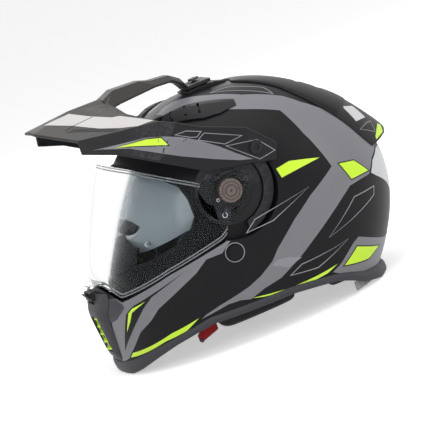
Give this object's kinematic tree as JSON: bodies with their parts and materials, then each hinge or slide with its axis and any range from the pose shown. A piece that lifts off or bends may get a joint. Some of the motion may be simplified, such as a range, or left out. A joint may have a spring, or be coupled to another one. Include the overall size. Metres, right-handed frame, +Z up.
{
  "type": "adventure motorcycle helmet",
  "caption": "Full-face adventure helmet with peak, hinged clear face shield, retractable sun visor, vents, liners and buckled chin strap.",
  "frame": {"origin": "centre of the bounding box's bottom face, on the rest plane under the rim trim", "axes": "-Y is the front (face shield), +X the wearer's left, +Z up through the crown; the helmet stands on its rim trim"},
  "size_m": [0.267, 0.377, 0.282],
  "materials": {
    "shell": "satin",
    "trim": "matte",
    "gasket": "matte",
    "black_plastic": "matte",
    "dark_plastic": "satin",
    "grey_plastic": "matte",
    "peak": "satin",
    "knob": "satin",
    "neon": "satin",
    "clear_shield": "gloss",
    "sun_lens": "gloss",
    "steel": "satin",
    "foam_liner": "matte",
    "liner_fabric": "matte",
    "webbing": "matte",
    "red_plastic": "satin",
    "silver_tab": "satin"
  },
  "bodies": {
    "helmet": {"outer_shell": "shell", "rim_trim": "trim", "eyeport_gasket": "gasket", "rear_spoiler": "shell", "spoiler_grille": "black_plastic", "scoop_left": "dark_plastic", "scoop_right": "dark_plastic", "brow_vent": "black_plastic", "chin_vent_panel": "grey_plastic", "chin_vent_fins": "neon", "side_pod_left": "dark_plastic", "side_pod_right": "dark_plastic", "pivot_base_left": "black_plastic", "pivot_base_right": "black_plastic", "pivot_screws": "steel", "sun_visor_pins": "steel", "lever_track": "dark_plastic", "peak_screws": "black_plastic", "peak_mount": "black_plastic", "peak_top_screw": "black_plastic", "crown_eps": "foam_liner", "cheek_eps_left": "foam_liner", "cheek_eps_right": "foam_liner", "chin_eps": "foam_liner", "crown_pad": "liner_fabric", "cheek_pad_left": "liner_fabric", "cheek_pad_right": "liner_fabric", "neck_roll": "liner_fabric", "chin_curtain": "liner_fabric", "breath_guard": "gasket", "release_tabs": "red_plastic", "neck_tab": "silver_tab", "strap_rivets": "steel", "rivet_caps": "dark_plastic", "strap_left": "webbing", "strap_right": "webbing", "buckle_body": "steel"},
    "face_shield": {"face_shield": "clear_shield", "shield_hub_left": "black_plastic", "shield_hub_right": "black_plastic", "shield_pins": "dark_plastic"},
    "sun_visor": {"sun_visor": "sun_lens"},
    "visor_lever": {"sun_visor_lever": "black_plastic"},
    "peak": {"peak": "peak", "peak_bushes": "black_plastic"},
    "knob_left": {"shield_knob_left": "knob"},
    "knob_right": {"shield_knob_right": "knob"},
    "chin_slider": {"chin_vent_slider": "black_plastic"},
    "brow_slider": {"brow_vent_slider": "dark_plastic"},
    "scoop_slider_left": {"scoop_slider_left": "black_plastic"},
    "scoop_slider_right": {"scoop_slider_right": "black_plastic"},
    "strap_tongue": {"buckle_tongue": "black_plastic"},
    "buckle_release": {"buckle_lever": "red_plastic"}
  },
  "joints": [
    {"name": "shield_hinge", "type": "hinge", "parent": "helmet", "child": "face_shield", "pos_m": [0, -0.03, 0.156], "axis": [-1, 0, 0], "range_deg": [0, 50]},
    {"name": "sun_visor_hinge", "type": "hinge", "parent": "helmet", "child": "sun_visor", "pos_m": [0, 0.003, 0.1], "axis": [-1, 0, 0], "range_deg": [0, 38]},
    {"name": "sun_visor_lever_slide", "type": "slide", "parent": "helmet", "child": "visor_lever", "axis": [0, 1, 0], "range_m": [0, 0.022]},
    {"name": "peak_tilt", "type": "hinge", "parent": "helmet", "child": "peak", "pos_m": [0, 0.0102, 0.1876], "axis": [-1, 0, 0], "range_deg": [0, 5]},
    {"name": "knob_left_turn", "type": "hinge", "parent": "helmet", "child": "knob_left", "pos_m": [0.122, -0.03, 0.156], "axis": [1, 0, 0], "range_deg": [0, 40]},
    {"name": "knob_right_turn", "type": "hinge", "parent": "helmet", "child": "knob_right", "pos_m": [-0.122, -0.03, 0.156], "axis": [-1, 0, 0], "range_deg": [0, 40]},
    {"name": "chin_slider_slide", "type": "slide", "parent": "helmet", "child": "chin_slider", "axis": [0, 0, -1], "range_m": [0, 0.004]},
    {"name": "brow_slider_slide", "type": "slide", "parent": "helmet", "child": "brow_slider", "axis": [1, 0, 0], "range_m": [0, 0.008]},
    {"name": "scoop_left_slide", "type": "slide", "parent": "helmet", "child": "scoop_slider_left", "axis": [0.8913, 0.4456, 0.0839], "range_m": [0, 0.006]},
    {"name": "scoop_right_slide", "type": "slide", "parent": "helmet", "child": "scoop_slider_right", "axis": [-0.8913, 0.4456, 0.0839], "range_m": [0, 0.006]},
    {"name": "tongue_slide", "type": "slide", "parent": "helmet", "child": "strap_tongue", "axis": [1, 0, 0], "range_m": [0, 0.012]},
    {"name": "buckle_release_hinge", "type": "hinge", "parent": "helmet", "child": "buckle_release", "pos_m": [-0.036, -0.048, 0.0254], "axis": [0, 1, 0], "range_deg": [0, 35], "stiffness_Nm_per_rad": 0.02}
  ],
  "couplings": [
    {"joint": "sun_visor_lever_slide", "follows": "sun_visor_hinge", "m_per_rad": 0.03302}
  ]
}
